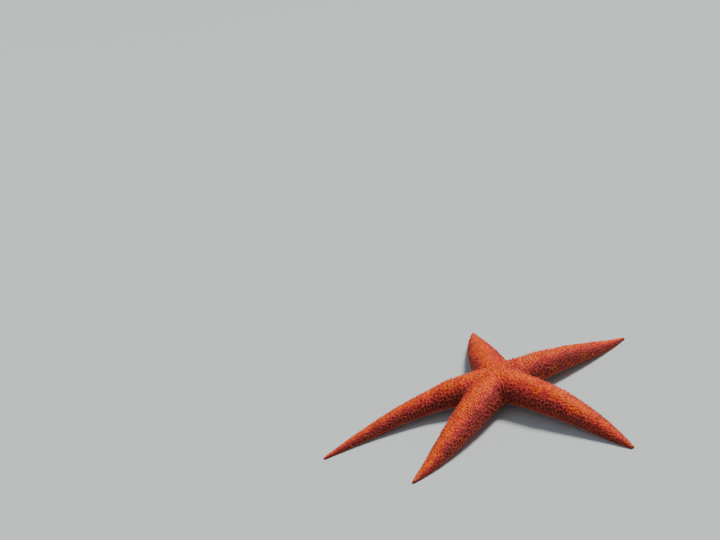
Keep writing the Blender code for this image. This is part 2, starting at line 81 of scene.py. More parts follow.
TIP_CORE = 0.4  # share of the tip's height at which its rounded end closes

# Heading and sideways turn in degrees, how late it turns, length, how late it comes down to the floor,
# and how late it tapers
ARMS = {
    "arm_right_rear": (26.7, 9.6, 1.5, 113.5 * MM, 1.8, 1.47),
    "arm_rear": (98.0, -8.0, 1.5, 123.0 * MM, 1.8, 1.50),
    "arm_left": (181.6, 30.6, 0.6, 136.0 * MM, 1.5, 1.03),
    "arm_left_front": (237.8, -11.2, 1.1, 112.5 * MM, 1.7, 1.69),
    "arm_right_front": (309.8, -12.9, 1.5, 122.3 * MM, 1.7, 1.66),
}

# Columns of the underside, from the middle of the furrow, 0, to the margin, 1
ROOF_COLUMN = 0.14
LIP_COLUMN = 0.36
FLAT_COLUMN = 0.62
NET_COLUMN = 0.42  # where the net of the skin begins
CUSHION_COLUMNS = (0.60, 0.30)

# The level on the body: 0 on the sole, this at the margin, and 1 on the ridge of an arm
MARGIN_LEVEL = 0.5


def share(value, start, end):
    """0 at start, 1 at end, and in even steps between them."""
    return np.clip((value - start) / (end - start), 0.0, 1.0)


def ease(value, start=0.0, end=1.0):
    """0 at start, 1 at end, and a soft rise between them."""
    way = share(value, start, end)
    return way * way * (3 - 2 * way)


def bell(distance, width):
    return np.exp(-((distance / width) ** 2))


class Arm:
    """One arm of the star. s runs out along it from the mouth axis, as a number or an array."""

    def __init__(self, index, name, left_gap, right_gap):
        self.index = index
        self.heading, self.turn, self.lateness, self.length, self.drop, self.taper = ARMS[name]
        self.half_gap = {1: math.radians(left_gap / 2), -1: math.radians(right_gap / 2)}
        self.stations = np.arange(int(self.length / MM) + 5) * MM
        fall = np.diff(self.sole_height(self.stations))
        steps = self.direction(self.stations[:-1] + 0.5 * MM) * np.sqrt(MM**2 - fall**2)[:, None]
        steps[:, 2] = fall
        start = np.array([[MOUTH_X, MOUTH_Y, SOLE_HEIGHT]])
        self.route = np.vstack([start, start + np.cumsum(steps, axis=0)])

    def sole_height(self, s):
        return SOLE_HEIGHT * (1 - share(s, DISC_REACH, self.length - FOOT_LENGTH) ** self.drop) ** LANDING

    def direction(self, s):
        bend = share(s, DISC_REACH, self.length)
        angle = np.radians(self.heading + self.turn * bend**self.lateness)
        return np.stack([np.cos(angle), np.sin(angle), 0 * angle], axis=-1)

    def frame(self, s):
        """(point on the sole line, forward, left, up)"""
        s = np.asarray(s, dtype=float)
        point = np.stack([np.interp(s, self.stations, self.route[:, k]) for k in range(3)], axis=-1)
        forward = self.direction(s)
        slope = (self.sole_height(s + MM) - self.sole_height(np.maximum(s - MM, 0))) / (2 * MM)
        left = np.stack([-forward[..., 1], forward[..., 0], 0 * slope], axis=-1)
        forward[..., 2] = slope
        forward /= np.linalg.norm(forward, axis=-1)[..., None]
        return point, forward, left, np.cross(forward, left)

    def place(self, s, offset, lift, ahead=0.0):
        point, forward, left, up = self.frame(s)
        offset, lift, ahead = (np.asarray(part)[..., None] for part in (offset, lift, ahead))
        return point + left * offset + up * lift + forward * ahead

    def half_width(self, s):
        own = ease(s, DISC_REACH, DISC_REACH + OWN_REACH)
        length = COMMON_LENGTH + (self.length - COMMON_LENGTH) * own
        taper = COMMON_TAPER + (self.taper - COMMON_TAPER) * own
        return ARM_HALF_WIDTH * (1 - np.minimum(s / length, 1.0) ** taper) ** TAPER_FINISH + TIP_HALF_WIDTH

    def height(self, s):
        return 2 * self.half_width(s) * HEIGHT_PER_WIDTH

    def crotch(self, side):
        """(where the gap to the neighbour on that side opens, where its rounding ends)"""
        half_gap = self.half_gap[side]
        centre = (self.half_width(DISC_REACH) + CROTCH_RADIUS) / math.sin(half_gap)
        return (centre - CROTCH_RADIUS) * math.cos(half_gap), centre * math.cos(half_gap)

    def opens(self, side):
        return np.where(side > 0, self.crotch(1)[0], self.crotch(-1)[0])

    def opens_at(self, across):
        """Where the crotches' line crosses this place between the right edge, -1, and the left one, 1."""
        right, left = self.crotch(-1)[0], self.crotch(1)[0]
        return right + (left - right) * (across + 1) / 2

    def edge(self, s, side):
        """Side offset of the outline, or within the disc of the line midway to the neighbour."""
        opens = self.opens(side)
        ends = np.where(side > 0, self.crotch(1)[1], self.crotch(-1)[1])
        slope = np.where(side > 0, math.tan(self.half_gap[1]), math.tan(self.half_gap[-1]))
        blend = ease(s, opens, ends)
        width = self.half_width(DISC_REACH) * (1 - blend) + self.half_width(s) * blend
        fillet = CROTCH_RADIUS - np.sqrt(CROTCH_RADIUS**2 - np.clip(ends - s, 0, CROTCH_RADIUS) ** 2)
        return np.where(s <= opens, s * slope, np.where(s >= ends, self.half_width(s), width + fillet))

    def arch_lift(self, s, across):
        """Height of the back above the sole."""
        height = self.height(s)
        margin = MARGIN_SHARE * height
        inward = np.maximum(1 - s / self.opens(across), 0.0)
        valley = margin + (height - margin) * np.sqrt(1 - (1 - inward) ** VALLEY_POWER)
        bow = np.sqrt(np.maximum(1 - across**2, 0.0))
        bow = bow * (1 - ROOF * (1 - bow))
        swell = 0.5 + 0.5 * np.cos(np.pi * across)
        blend = ease(SWELL_FADE * inward)
        return valley + (height - valley) * (bow * (1 - blend) + swell * blend)

    def lip(self, s, side):
        """Half width of the furrow."""
        width = (FURROW_HALF_WIDTH + FURROW_WIDENING * (s / self.length) ** 2) * self.half_width(s)
        return np.minimum(width, FURROW_LIMIT * self.edge(s, side))

    def furrow_depth(self, s):
        return FURROW_DEPTH * self.height(s) * ease(self.length - s, 0, FURROW_FADE)

    def underside(self, s, column):
        """(side offset, lift) of the underside. The column runs from the right margin, -1, to the left, 1."""
        side = np.where(column >= 0, 1, -1)
        way = np.abs(column)
        edge = self.edge(s, side)
        opens = self.opens(side)
        margin = MARGIN_SHARE * self.height(s) * ease(s, MARGIN_START * opens, opens)
        lip = self.lip(s, side)
        curve = SOLE_CURVE * np.minimum(self.half_width(s), edge)
        curve = np.minimum(curve, SOLE_CURVE_LIMIT * (edge - lip))
        turn = share(way, 1, FLAT_COLUMN) * np.pi / 2
        flat = share(way, FLAT_COLUMN, LIP_COLUMN)
        wall = share(way, LIP_COLUMN, ROOF_COLUMN)
        top = share(way, ROOF_COLUMN, 0)
        offset = edge - curve * (1 - np.cos(turn)) - (edge - curve - lip) * flat
        offset = offset - lip * ((1 - FURROW_ROOF) * wall + FURROW_ROOF * top)
        cushion = SOLE_SWELL * np.sin(np.pi * share(way, *CUSHION_COLUMNS))
        cushion = cushion * ease(self.sole_height(s), 0, CUSHION_FADE)
        rib = RIB_HEIGHT * np.cos(2 * np.pi * s / RIB_STEP) * wall * ease(self.furrow_depth(s), 0, MM)
        depth = self.furrow_depth(s) * (wall + FURROW_CROWN * np.sin(top * np.pi / 2))
        return offset * side, margin * (1 - np.sin(turn)) + depth - cushion + rib


arms = []
headings = [plan[0] for plan in ARMS.values()]
for i, arm_name in enumerate(ARMS):
    gap_left = (headings[(i + 1) % len(ARMS)] - headings[i]) % 360
    gap_right = (headings[i] - headings[i - 1]) % 360
    arms.append(Arm(i, arm_name, gap_left, gap_right))

BACK_COLUMNS = 48
SOLE_COLUMNS = 28
DISC_ROWS = 46  # of the back, from the crown to the crotches
MOUTH_ROWS = 8  # of the underside, in the hollow over the mouth
SOLE_ROWS = 26  # and from there to the crotches
NECK_ROWS = 10  # from the crotches to the end of the disc
ARM_ROWS = 186
CAP_ROWS = 5
SMOOTHINGS = 2  # of the underside, from side to side
UNWRAP_SIDE = 0.08  # left clear on each side of an arm's column on the unwrap, as a share of its width
UNWRAP_END = 0.03  # and at each end of a sheet
WELD = 0.004 * MM  # corners closer than this are joined


def row_stations(arm, rows, across, first):
    """(s, cap angle) for each row and column, from the first station out to past the tip."""
    opens = arm.opens_at(across)
    row = np.arange(rows + 1)[:, None]
    neck = rows - NECK_ROWS - ARM_ROWS - CAP_ROWS
    free, tip = neck + NECK_ROWS, rows - CAP_ROWS
    s = first + (opens - first) * share(row, 0, neck) + (DISC_REACH - opens) * share(row, neck, free)
    s = s + (arm.length - DISC_REACH) * share(row, free, tip)
    return s, share(row, tip, rows) * np.pi / 2 + 0 * s


def capped(arm, s, cap, offset, lift):
    """The sheet's points, drawn together over the rounded end of the arm."""
    core = TIP_CORE * arm.height(arm.length)
    drawn = np.where(cap > 0, np.cos(cap), 1.0)
    return arm.place(s, offset * drawn, core + (lift - core) * drawn, TIP_ROUND * np.sin(cap))


def unwrapped(arm, sheet, across, along):
    """A place on the unwrap of the skin: a column for each arm, its back above its underside."""
    column = arm.index + UNWRAP_SIDE + (1 - 2 * UNWRAP_SIDE) * (across + 1) / 2
    row = sheet + UNWRAP_END + (1 - 2 * UNWRAP_END) * along
    return column / len(ARMS), row / 2


def back_sheet(arm, rows, slope):
    """(points, level up the body, relief, s) of the back."""
    across = np.sin(slope * np.pi / 2)
    s, cap = row_stations(arm, rows, across, 0.0)
    lift = arm.arch_lift(s, across)
    points = capped(arm, s, cap, across * arm.edge(s, across), lift)
    level = MARGIN_LEVEL + (1 - MARGIN_LEVEL) * lift / arm.height(s)
    return points, level, 1 + 0 * s, s


def sole_sheet(arm, rows, column):
    """(points, level up the body, relief, s) of the underside, with the hollow over the mouth."""
    s, cap = row_stations(arm, rows - MOUTH_ROWS, column, MOUTH_REACH)
    s = np.vstack([np.repeat(s[:1], MOUTH_ROWS, axis=0), s])
    cap = np.vstack([np.zeros((MOUTH_ROWS, s.shape[1])), cap])
    offset, lift = arm.underside(s, column)
    for values in SMOOTHINGS * (offset, lift):
        values[:, 1:-1] = (values[:, :-2] + 2 * values[:, 1:-1] + values[:, 2:]) / 4
    points = capped(arm, s, cap, offset, lift)
    rim = points[MOUTH_ROWS].copy()
    centre = np.array((MOUTH_X, MOUTH_Y))
    for r in range(MOUTH_ROWS):
        reach = r / MOUTH_ROWS
        points[r, :, :2] = centre + (rim[:, :2] - centre) * reach
        points[r, :, 2] = rim[:, 2] + (SOLE_HEIGHT + MOUTH_DEPTH - rim[:, 2]) * math.sqrt(1 - reach**2)
    level = MARGIN_LEVEL * np.abs(column) ** 4 * lift / arm.height(s) / MARGIN_SHARE
    relief = ease(np.abs(column), NET_COLUMN, FLAT_COLUMN) + 0 * s
    relief[:MOUTH_ROWS] = 0
    return points, np.clip(level, 0, MARGIN_LEVEL), relief, s


def lay_sheet(bm, arm, sheet, columns, rows, shape):
    """One flat grid, bent over the back or under the sole of an arm."""
    made = bmesh.ops.create_grid(bm, x_segments=columns, y_segments=rows, size=1)["verts"]
    points, level, relief, s = shape(arm, rows, np.linspace(-1, 1, columns + 1)[None, :])
    breadth = arm.half_width(s) / ARM_HALF_WIDTH
    for vert in made:
        c, r = round((vert.co.x + 1) / 2 * columns), round((vert.co.y + 1) / 2 * rows)
        vert.co = points[r, c]
        vert[level_layer] = level[r, c]
        vert[relief_layer] = relief[r, c]
        vert[breadth_layer] = breadth[r, c]
        for loop in vert.link_loops:
            loop[unwrap_layer].uv = unwrapped(arm, sheet, 2 * c / columns - 1, r / rows)


bm = bmesh.new()
level_layer = bm.verts.layers.float.new("level")
relief_layer = bm.verts.layers.float.new("relief")
breadth_layer = bm.verts.layers.float.new("breadth")
unwrap_layer = bm.loops.layers.uv.new("OFBake")
for arm in arms:
    outer_rows = NECK_ROWS + ARM_ROWS + CAP_ROWS
    lay_sheet(bm, arm, 1, BACK_COLUMNS, DISC_ROWS + outer_rows, back_sheet)
    lay_sheet(bm, arm, 0, SOLE_COLUMNS, MOUTH_ROWS + SOLE_ROWS + outer_rows, sole_sheet)
bmesh.ops.remove_doubles(bm, verts=bm.verts, dist=WELD)
bmesh.ops.dissolve_degenerate(bm, edges=bm.edges, dist=WELD / 2)
bmesh.ops.recalc_face_normals(bm, faces=bm.faces)
skin_mesh = bpy.data.meshes.new("star_skin")
bm.to_mesh(skin_mesh)
bm.free()


def read(values, field, width=1):
    """One field of a mesh's values as an array."""
    found = np.zeros(len(values) * width)
    values.foreach_get(field, found)
    return found.reshape(-1, width) if width > 1 else found


spots = read(skin_mesh.vertices, "co", 3)
outs = read(skin_mesh.vertex_normals, "vector", 3)
level = read(skin_mesh.attributes["level"].data, "value")
relief = read(skin_mesh.attributes["relief"].data, "value")
breadth = read(skin_mesh.attributes["breadth"].data, "value")
unwrap = np.zeros((len(spots), 2))
unwrap[read(skin_mesh.loops, "vertex_index").astype(int)] = read(skin_mesh.uv_layers["OFBake"].data, "uv", 2)

# Where the sieve plate sits, on the line between the rear and the left arm
SIEVE_REACH = 11.5 * MM
SIEVE_RADIUS = 2.6 * MM
rear, left = arms[1], arms[2]
sieve_angle = math.radians((rear.heading + left.heading) / 2)
sieve_away = np.array((math.cos(sieve_angle), math.sin(sieve_angle), 0.0))
sieve_sides = np.array((SIEVE_REACH - MM, SIEVE_REACH, SIEVE_REACH + MM)) * math.cos(rear.half_gap[1])
sieve_lifts = rear.arch_lift(sieve_sides, np.ones(3))
sieve_point = np.array((MOUTH_X, MOUTH_Y, SOLE_HEIGHT + sieve_lifts[1])) + sieve_away * SIEVE_REACH
sieve_run = sieve_away + np.array((0, 0, (sieve_lifts[2] - sieve_lifts[0]) / (2 * MM)))
sieve_run /= np.linalg.norm(sieve_run)
sieve_side = np.array((-sieve_away[1], sieve_away[0], 0.0))
sieve_out = np.cross(sieve_run, sieve_side)

SMALLEST = 0.42  # size of the pits and spinelets at the tips, where 1 is a whole one
PIT_SPACING = 2.35 * MM  # on the widest part of an arm
PIT_DEPTH = 0.42 * MM
PIT_RADIUS = 0.34  # share of the spacing
PIT_RELIEF = 0.35  # the least relief of the skin in which one forms
NET_HEIGHT = 0.13 * MM
NET_WIDTH = 0.42  # share of the spacing
NET_FROM_TIP = (1.35 * MM, 2.15 * MM)  # half widths of an arm over which pits and net begin
NET_FROM_SIEVE = (0.6 * MM, 1.4 * MM)  # and distances from the sieve plate
SWELLING = 0.20 * MM
SWELLING_SCALE = 95
SWELLING_START = (0.1, 0.4)  # breadths of an arm, as shares of the widest, over which it begins
SWELLING_LEVEL = 0.45
SEAT_DEPTH = 0.7 * MM  # of the sieve plate's seat
SEAT_WALL = (-0.1 * MM, 0.4 * MM)  # beside the plate
SEAT_RIM = 0.16 * MM
SEAT_RIM_PLACE = 0.85 * MM  # beside the plate
SEAT_RIM_WIDTH = 0.5 * MM


def scattered(order, apart):
    """Picks places of the skin in the order given, none closer to an earlier one than its own spacing."""
    cell = float(apart.max())
    places = spots.tolist()
    boxes = {}
    picked = []
    for k in order:
        x, y, z = places[k]
        i, j, h = int(x // cell), int(y // cell), int(z // cell)
        least = apart[k] ** 2
        around = [(a, b, c) for a in (i - 1, i, i + 1) for b in (j - 1, j, j + 1) for c in (h - 1, h, h + 1)]
        near = (places[n] for box in around for n in boxes.get(box, ()))
        if all((x - p) ** 2 + (y - q) ** 2 + (z - r) ** 2 >= least for p, q, r in near):
            boxes.setdefault((i, j, h), []).append(k)
            picked.append(k)
    return np.array(picked)


from_sieve = np.linalg.norm(spots - sieve_point, axis=1) - SIEVE_RADIUS
relief *= ease(breadth * ARM_HALF_WIDTH, *NET_FROM_TIP)
relief *= ease(from_sieve, *NET_FROM_SIEVE)
size_here = SMALLEST + (1 - SMALLEST) * np.minimum(breadth, 1.0)
spacing = PIT_SPACING * size_here
draw = np.random.default_rng(11)
pits = scattered(draw.permutation(np.flatnonzero(relief > PIT_RELIEF)).tolist(), spacing)
tree = kdtree.KDTree(len(pits))
for i, k in enumerate(pits):
    tree.insert(spots[k], i)
tree.balance()
gaps = np.array([[found[2] for found in tree.find_n(spot, 2)] for spot in spots]) / spacing[:, None]
pit = bell(gaps[:, 0], PIT_RADIUS) * relief
net = (1 - ease(gaps[:, 1] - gaps[:, 0], 0, NET_WIDTH)) * relief
lift = size_here * (NET_HEIGHT * net - PIT_DEPTH * pit)
swelling = np.array([noise.noise(Vector(spot) * SWELLING_SCALE) for spot in spots])
lift += SWELLING * swelling * ease(breadth, *SWELLING_START) * (level > SWELLING_LEVEL)
lift += SEAT_RIM * bell(from_sieve - SEAT_RIM_PLACE, SEAT_RIM_WIDTH)
lift -= SEAT_DEPTH * (1 - ease(from_sieve, *SEAT_WALL))

# The mounds of the ten jaw plates, two between each arm and the next
JAW_REACH = 7.1 * MM
JAW_SPREAD = 1.0 * MM
JAW_HEIGHT = 0.7 * MM
JAW_LENGTH = 1.15 * MM
JAW_WIDTH = 0.62 * MM
JAW_RISE = 2 * MM  # how far up and down a mound reaches
JAW_LEVEL = 0.3  # the highest level on the body that it lifts
jaws = []
for arm in arms:
    toward = math.radians(arm.heading) + arm.half_gap[1]
    away = np.array((math.cos(toward), math.sin(toward), 0.0))
    for side in (1, -1):
        beside = side * np.array((-away[1], away[0], 0.0))
        jaw = np.array((MOUTH_X, MOUTH_Y, SOLE_HEIGHT)) + away * JAW_REACH + beside * JAW_SPREAD
        jaws.append((arm, jaw, away, beside))
        apart = spots - jaw
        mound = bell(apart @ away, JAW_LENGTH) * bell(apart @ beside, JAW_WIDTH) * bell(apart[:, 2], JAW_RISE)
        lift += JAW_HEIGHT * mound * (level < JAW_LEVEL)

# The eyespots, one red spot at the end of each arm
EYESPOT = 0.55 * MM
EYE_PLACE = 0.35  # share of the tip's height
eye = np.zeros(len(spots))
for arm in arms:
    tip = arm.place(arm.length, 0.0, EYE_PLACE * arm.height(arm.length), TIP_ROUND)
    eye += bell(np.linalg.norm(spots - tip, axis=1), EYESPOT)
spots += outs * lift[:, None]
spots[:, 2] = np.maximum(spots[:, 2], 0)
skin_mesh.vertices.foreach_set("co", spots.ravel())
for name, values in (("pit", pit), ("net", net), ("eye", eye)):
    skin_mesh.attributes.new(name, "FLOAT", "POINT").data.foreach_set("value", values)
skin_mesh.update()
skin_mesh.shade_smooth()


class Finish:
    """A material, and the nodes that give it its colour. Its values go to the shader's own sockets."""

    def __init__(self, name, **values):
        self.material = bpy.data.materials.new(name)
        self.material.use_nodes = True
        self.tree = self.material.node_tree
        self.shader = self.tree.nodes["Principled BSDF"]
        for key, value in values.items():
            self.feed(self.shader.inputs[key.replace("_", " ")], value)

    def feed(self, socket, value):
        """Gives a socket the output of another node, a value, or a colour of three numbers."""
        if isinstance(value, bpy.types.NodeSocket):
            self.tree.links.new(value, socket)
        elif socket.type == "RGBA":
            socket.default_value = (*value, 1)
        else:
            socket.default_value = value

    def node(self, kind, inputs=(), **settings):
        made = self.tree.nodes.new("ShaderNode" + kind)
        for key, value in settings.items():
            setattr(made, key, value)
        for key, value in dict(inputs).items():
            self.feed(made.inputs[key], value)
        return made

    def own(self, name):
        """The value that the piece's mesh holds under this name."""
        return self.node("Attribute", attribute_name=name).outputs["Fac"]

    def grain(self, scale, detail=3.0, roughness=0.55):
        place = self.node("TexCoord").outputs["Object"]
        inputs = {"Vector": place, "Scale": scale, "Detail": detail, "Roughness": roughness}
        return self.node("TexNoise", inputs).outputs["Fac"]

    def sum(self, value, factor, added):
        """value * factor + added"""
        return self.node("Math", {0: value, 1: factor, 2: added}, operation="MULTIPLY_ADD").outputs[0]

    def ramp(self, value, *stops):
        """A colour, or a grey, read from (place, colour) stops."""
        made = self.node("ValToRGB", {"Fac": value})
        band = made.color_ramp.elements
        while len(band) < len(stops):
            band.new(1.0)
        for element, (place, colour) in zip(band, stops):
            element.position = place
            element.color = (colour, colour, colour, 1) if isinstance(colour, float) else (*colour, 1)
        return made.outputs["Color"]

    def mix(self, factor, under, over, way="MIX"):
        inputs = {0: factor, 6: under, 7: over}
        return self.node("Mix", inputs, data_type="RGBA", blend_type=way).outputs[2]

    def paint(self, colour):
        self.feed(self.shader.inputs["Base Color"], colour)


def shown(mesh, finish):
    """The mesh as a piece of the star, with its finish."""
    mesh.materials.append(finish.material)
    piece = bpy.data.objects.new(mesh.name, mesh)
    bpy.context.scene.collection.objects.link(piece)
    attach(piece, "root")
    return piece


SOLE_COLOUR = (0.74, 0.135, 0.050)
# Painted shade: the flanks are given this dark colour for the shade that falls on them.
SHADED_SIDE_COLOUR = (0.098, 0.015, 0.025)
DEEP_RED = (0.25, 0.020, 0.034)
RED = (0.61, 0.036, 0.042)
ORANGE = (0.92, 0.074, 0.012)
# Painted highlight: the ridges are given this bright orange for the light that falls on them.
RIDGE_HIGHLIGHT_COLOUR = (1.00, 0.135, 0.008)
OLIVE = (0.38, 0.12, 0.026)
PALE_SPECK = (0.98, 0.165, 0.028)
NET_COLOUR = (0.94, 0.105, 0.022)
NET_SHARE = 0.30
# Darker in the pits: partly the darker skin round the gills, partly painted shade in the hollows.
PIT_SKIN_AND_SHADE_COLOUR = (0.13, 0.008, 0.014)
PIT_SHARE = 0.65
EYE_COLOUR = (0.25, 0.006, 0.006)
CLOUD_SHARE = 0.28  # how far the soft patches shift the level that the colour is read at
CLOUD_GRAIN = 90
OLIVE_GRAIN = 150
PALE_GRAIN = 480
DARK_GRAIN = 640
GLOSS_GRAIN = 700
WRINKLE_GRAIN = 2600
WRINKLE_DEPTH = 0.16 * MM


def hide_colour_with_painted_light(finish):
    """The colour of the skin by its level on the body, with painted shade on the flanks and a painted
    highlight on the ridge, soft patches and pale and dark specks.
    """
    cloud = finish.sum(finish.grain(CLOUD_GRAIN), CLOUD_SHARE, -CLOUD_SHARE / 2)
    # Read by level: painted shade on the flanks and a painted highlight on the ridge, over the skin's own red
    # and orange and its paler sole
    colour = finish.ramp(
        finish.sum(finish.own("level"), 1.0, cloud),
        (0.0, SOLE_COLOUR), (0.10, DEEP_RED), (0.40, SHADED_SIDE_COLOUR), (0.74, SHADED_SIDE_COLOUR), (0.86, DEEP_RED),
        (0.925, RED), (0.97, ORANGE), (1.0, RIDGE_HIGHLIGHT_COLOUR))
    olive = finish.ramp(finish.grain(OLIVE_GRAIN, 2), (0.54, 0.0), (0.70, 0.40))
    colour = finish.mix(olive, colour, OLIVE)
    pale = finish.ramp(finish.grain(PALE_GRAIN, 3, 0.7), (0.56, 0.0), (0.68, 0.55))
    colour = finish.mix(pale, colour, PALE_SPECK)
    dark = finish.ramp(finish.grain(DARK_GRAIN, 4, 0.7), (0.38, 0.30), (0.53, 1.0))
    return finish.mix(1.0, colour, dark, "MULTIPLY")


hide = Finish(
    "star_hide", Specular_IOR_Level=0.15, Subsurface_Weight=0.10, Subsurface_Scale=1.2 * MM,
    Subsurface_Radius=(1.0, 0.30, 0.12))
colour = hide.mix(hide.sum(hide.own("net"), NET_SHARE, 0.0), hide_colour_with_painted_light(hide), NET_COLOUR)
# Darker in the pits: partly the darker skin round the gills, partly painted shade in the hollows
colour = hide.mix(hide.sum(hide.own("pit"), PIT_SHARE, 0.0), colour, PIT_SKIN_AND_SHADE_COLOUR)
hide.paint(hide.mix(hide.own("eye"), colour, EYE_COLOUR))
hide.feed(hide.shader.inputs["Roughness"], hide.ramp(hide.grain(GLOSS_GRAIN), (0.3, 0.55), (0.7, 0.80)))
wrinkles = hide.grain(WRINKLE_GRAIN, 4, 0.6)
bump = hide.node("Bump", {"Height": wrinkles, "Strength": 0.5, "Distance": WRINKLE_DEPTH})
hide.feed(hide.shader.inputs["Normal"], bump.outputs["Normal"])
skin = shown(skin_mesh, hide)
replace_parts(skin, "disc", *[f"{name}_{part}" for name in ARMS for part in ("base", "middle", "tip")])

# The spinelets: short, blunt spines of chalk that stand on the knots of the net, each in a thin sheath of
# skin that flares at its root. One shape is cast, and set on the skin again and again.
PATCH = 0.003  # of each small piece on the unwrap
SPINELET = ((0, -0.45), (0.76, -0.30), (0.40, 0.14), (0.29, 0.56), (0.13, 0.80), (0, 0.84))
SPINELET_SIDES = 8
SPINELET_SIZES = (0.75, 1.15)
SPINELET_TILT = 0.10
SPINELET_END_COLOUR = (0.92, 0.20, 0.075)
TINT_SHARE = 0.15  # how far one differs from the next in colour
KNOT_RELIEF = 0.6  # the least relief of the skin in which a knot forms
KNOT_BREADTH = 0.17  # and the least breadth of the arm, as a share of the widest
KNOT_LEAST = 0.5  # from the nearest pit, as a share of the spacing of the pits
KNOT_APART = 0.66  # from one knot to the next, as a share of it
RIDGE_LEVEL = 0.9
STEEP = 0.8  # how upright a direction may be before another guide squares it
TINY = 0.001 * MM


def turned_shape(profile, sides):
    """A small round shape, from points (radius, height) in mm that close at both ends."""
    bm = bmesh.new()
    line = [bm.verts.new((radius * MM, 0, height * MM)) for radius, height in profile]
    edges = [bm.edges.new(pair) for pair in zip(line, line[1:])]
    bmesh.ops.spin(
        bm, geom=line + edges, cent=(0, 0, 0), axis=(0, 0, 1), angle=2 * math.pi, steps=sides,
        use_merge=True, use_duplicate=False)
    bmesh.ops.remove_doubles(bm, verts=bm.verts, dist=TINY)
    bmesh.ops.recalc_face_normals(bm, faces=bm.faces)
    return bm


def cast(bm):
    """(corners, triangles, share of the height at each corner, flat layout of each triangle's corners)"""
    bmesh.ops.triangulate(bm, faces=bm.faces)
    corners = np.array([v.co for v in bm.verts])
    triangles = np.array([[v.index for v in face.verts] for face in bm.faces])
    bm.free()
    rise = share(corners[:, 2], 0, corners[:, 2].max())
    around = corners[:, :2] / (np.linalg.norm(corners[:, :2], axis=1)[:, None] + TINY)
    layout = around * (0.5 - 0.45 * rise)[:, None]  # its root round the rim, its end near the middle
    return corners, triangles, rise, layout[triangles.ravel()]


def crosswise(out, angle):
    """A direction square to out, turned round it by the angle."""
    guide = np.array((0.0, 0.0, 1.0)) if abs(out[2]) < STEEP else np.array((1.0, 0.0, 0.0))
    run = np.cross(out, guide)
    run /= np.linalg.norm(run)
    return run * math.cos(angle) + np.cross(out, run) * math.sin(angle)


class Bed:
    """Many small casts of one kind, set out on the star and joined as one mesh."""

    def __init__(self):
        self.corners, self.triangles, self.layouts = [], [], []
        self.values = {"rise": [], "level": [], "tint": []}
        self.total = 0

    def plant(self, kind, point, out, width, height, patch, level):
        """Sets one with its axis along out, unless it would reach below the floor."""
        corners, triangles, rise, layout = kind
        out = out / np.linalg.norm(out)
        run = crosswise(out, draw.uniform(0, 2 * math.pi))
        tint = draw.uniform(-1, 1)
        placed = point + corners @ np.array((run * width, np.cross(out, run) * width, out * height))
        if placed[:, 2].min() > 0:
            self.corners.append(placed)
            self.triangles.append(triangles + self.total)
            self.layouts.append(patch + PATCH * layout)
            self.values["rise"].append(rise)
            self.values["level"].append(np.full(len(rise), level))
            self.values["tint"].append(np.full(len(rise), tint))
            self.total += len(rise)

    def mesh(self, name):
        made = bpy.data.meshes.new(name)
        made.from_pydata(np.vstack(self.corners).tolist(), [], np.vstack(self.triangles).tolist())
        made.uv_layers.new(name="OFBake").data.foreach_set("uv", np.vstack(self.layouts).ravel())
        for key, values in self.values.items():
            made.attributes.new(key, "FLOAT", "POINT").data.foreach_set("value", np.concatenate(values))
        made.shade_smooth()
        return made


spinelet = cast(turned_shape(SPINELET, SPINELET_SIDES))
knots = np.flatnonzero((relief > KNOT_RELIEF) & (gaps[:, 0] > KNOT_LEAST) & (breadth > KNOT_BREADTH))
knots = knots[np.argsort(-gaps[knots, 0], kind="stable")]
knots = scattered(knots.tolist(), KNOT_APART * spacing)
beds = {"ridge": Bed(), "side": Bed(), "sole": Bed()}
for k in knots:
    place = "ridge" if level[k] > RIDGE_LEVEL else "side" if level[k] > MARGIN_LEVEL else "sole"
    size = size_here[k] * draw.uniform(*SPINELET_SIZES)
    out = outs[k] + draw.normal(0, SPINELET_TILT, 3)
    beds[place].plant(spinelet, spots[k], out, size, size, unwrap[k], level[k])

sheath = Finish(
    "spinelet_sheath", Roughness=0.6, Specular_IOR_Level=0.15, Subsurface_Weight=0.08,
    Subsurface_Scale=0.8 * MM, Subsurface_Radius=(1.0, 0.35, 0.15))
# The sheaths take the skin's colour, with its painted shade on the flanks and painted highlight on the ridge
colour = sheath.mix(NET_SHARE, hide_colour_with_painted_light(sheath), NET_COLOUR)
rise = sheath.sum(sheath.own("tint"), TINT_SHARE, sheath.own("rise"))
sheath.paint(sheath.mix(sheath.ramp(rise, (0.35, 0.0), (1.0, 0.5)), colour, SPINELET_END_COLOUR))
for place, bed in beds.items():
    shown(bed.mesh(f"star_{place}_spinelets"), sheath)

# The gills: thin-walled fingers of skin that stand two or three together in each pit of the back, through
# which the star breathes. They are soft and part full of water, and a darker red than the skin round them.
GILL = ((0, -0.2), (0.20, 0.0), (0.19, 0.22), (0.10, 0.38), (0, 0.42))
GILL_SIDES = 5
GILL_LEVEL = 0.55
GILLS_LEAST = 2  # in one pit
GILLS_MOST = 3
GILL_ASIDE = (0.2, 0.42)  # mm, from the middle of the pit
GILL_HEIGHTS = (0.6, 1.15)
GILL_ROOT_COLOUR = (0.17, 0.010, 0.010)
GILL_END_COLOUR = (0.46, 0.045, 0.022)
gill = cast(turned_shape(GILL, GILL_SIDES))
bed = Bed()
for k in pits[level[pits] > GILL_LEVEL]:
    size = size_here[k]
    for _ in range(draw.integers(GILLS_LEAST, GILLS_MOST + 1)):
        aside = crosswise(outs[k], draw.uniform(0, 2 * math.pi)) * draw.uniform(*GILL_ASIDE) * MM
        height = size * draw.uniform(*GILL_HEIGHTS)
        bed.plant(gill, spots[k] + aside * size, outs[k], size, height, unwrap[k], level[k])
film = Finish(
    "gill_film", Roughness=0.32, Specular_IOR_Level=0.5, Subsurface_Weight=0.2, Subsurface_Scale=0.6 * MM,
    Subsurface_Radius=(1.0, 0.25, 0.15))
film.paint(film.mix(film.ramp(film.own("rise"), (0.2, 0.0), (1.0, 0.7)), GILL_ROOT_COLOUR, GILL_END_COLOUR))
shown(bed.mesh("star_gills"), film)

